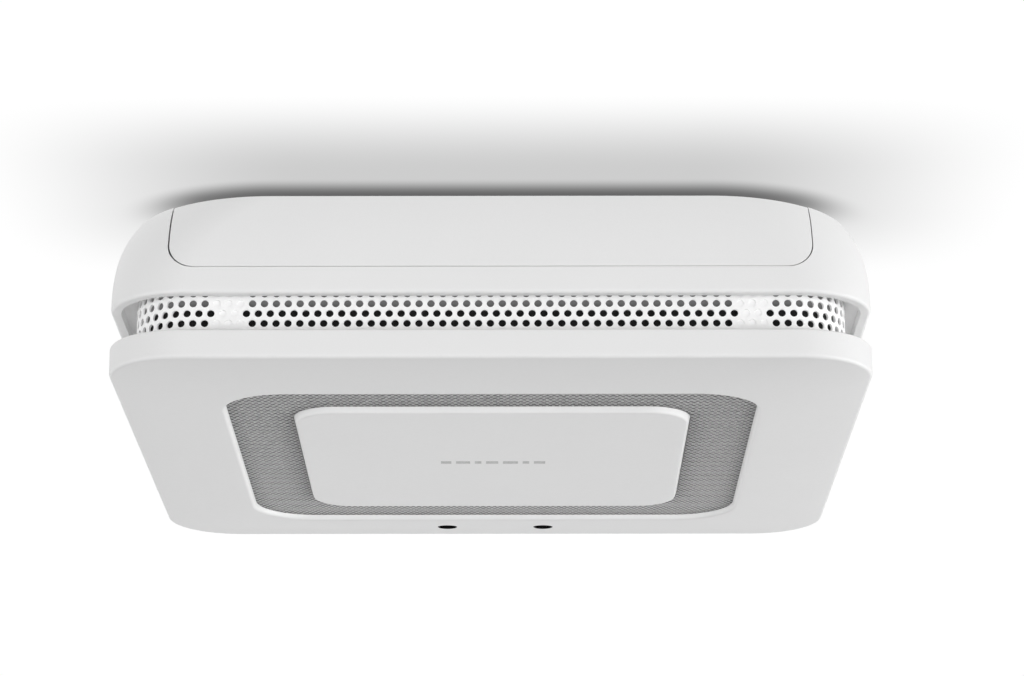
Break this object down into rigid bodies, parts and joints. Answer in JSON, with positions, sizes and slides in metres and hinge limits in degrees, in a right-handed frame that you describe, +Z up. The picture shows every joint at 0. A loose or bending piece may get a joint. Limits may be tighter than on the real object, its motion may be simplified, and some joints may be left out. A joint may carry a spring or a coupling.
{
  "type": "smoke detector",
  "caption": "Square white ceiling smoke detector with perforated vent slot, grey mesh ring round a raised test button, swing-down body and side release flap",
  "frame": {"origin": "centre of the ceiling plate's flat back, where it lies on the ceiling", "axes": "+Z points up into the ceiling, the front faces -Z; the release flap faces -Y and the swing hinge is at +Y"},
  "size_m": [0.15, 0.15, 0.0358],
  "materials": {
    "board_green": "solder mask",
    "brass": "rolled",
    "button_white": "fine spark texture",
    "can_aluminium": "drawn",
    "cell_sleeve": "printed sleeve",
    "ceramic_white": "moulded",
    "chamber_black": "moulded",
    "chassis_grey": "moulded",
    "component_black": "moulded",
    "contact_nickel": "nickel plate",
    "flap_white": "fine spark texture",
    "frame_white": "fine spark texture",
    "horn_black": "moulded",
    "insect_screen_steel": "etched mesh",
    "lens_clear": "clear epoxy",
    "mesh_grey": "fine perforated sheet",
    "plate_white": "moulded",
    "screen_black": "fine weave",
    "screw_steel": "bright zinc",
    "shell_white": "fine spark texture",
    "shield_tin": "tin plate",
    "smoked_lens": "smoked",
    "vent_white": "moulded"
  },
  "bodies": {
    "ceiling_mount": {"ceiling_plate": "plate_white"},
    "flap": {"release_flap": "flap_white"},
    "detector_body": {"antenna": "contact_nickel", "battery_bridge_left": "contact_nickel", "battery_bridge_right": "contact_nickel", "battery_cell_inner_left": "cell_sleeve", "battery_cell_inner_right": "cell_sleeve", "battery_cell_outer_left": "cell_sleeve", "battery_cell_outer_right": "cell_sleeve", "battery_flat_contact_left": "contact_nickel", "battery_flat_contact_right": "contact_nickel", "battery_spring_contact_left": "contact_nickel", "battery_spring_contact_right": "contact_nickel", "board_screw_1": "screw_steel", "board_screw_2": "screw_steel", "board_screw_3": "screw_steel", "board_screw_4": "screw_steel", "button_spring_1": "screw_steel", "button_spring_2": "screw_steel", "button_spring_3": "screw_steel", "button_spring_4": "screw_steel", "capacitor_1": "can_aluminium", "capacitor_2": "can_aluminium", "chamber_base": "chamber_black", "front_frame": "frame_white", "gas_sensor": "can_aluminium", "grille_mesh": "mesh_grey", "housing_screw_1": "screw_steel", "housing_screw_2": "screw_steel", "housing_screw_3": "screw_steel", "housing_screw_4": "screw_steel", "humidity_sensor": "ceramic_white", "infrared_led": "lens_clear", "inner_chassis": "chassis_grey", "insect_screen": "insect_screen_steel", "labyrinth_cover": "chamber_black", "light_pipe_left": "smoked_lens", "light_pipe_right": "smoked_lens", "light_sensor": "component_black", "main_board": "board_green", "microcontroller": "component_black", "photodiode": "smoked_lens", "radio_module": "shield_tin", "rear_housing": "shell_white", "siren_disc": "brass", "siren_horn": "horn_black", "siren_transformer": "component_black", "status_led": "ceramic_white", "switch_body": "component_black", "vent_ring": "vent_white", "vent_screen": "screen_black"},
    "button": {"button_pad": "button_white"},
    "plunger": {"switch_plunger": "ceramic_white"}
  },
  "joints": [
    {"name": "body_swing", "type": "hinge", "parent": "ceiling_mount", "child": "detector_body", "pos_m": [0, 0.072, -0.0032], "axis": [1, 0, 0], "range_deg": [0, 25]},
    {"name": "flap_press", "type": "slide", "parent": "ceiling_mount", "child": "flap", "axis": [0, 1, 0], "range_m": [0, 0.001], "stiffness_N_per_m": 800, "springref_m": -0.0005},
    {"name": "button_press", "type": "slide", "parent": "detector_body", "child": "button", "axis": [0, 0, 1], "range_m": [0, 0.0008], "stiffness_N_per_m": 1500, "springref_m": -0.0005, "deforming": ["button_spring_1", "button_spring_2", "button_spring_3", "button_spring_4"]},
    {"name": "plunger_press", "type": "slide", "parent": "detector_body", "child": "plunger", "axis": [0, 0, 1], "range_m": [0, 0.0008]}
  ],
  "couplings": [
    {"joint": "plunger_press", "follows": "button_press", "ratio": 1}
  ]
}
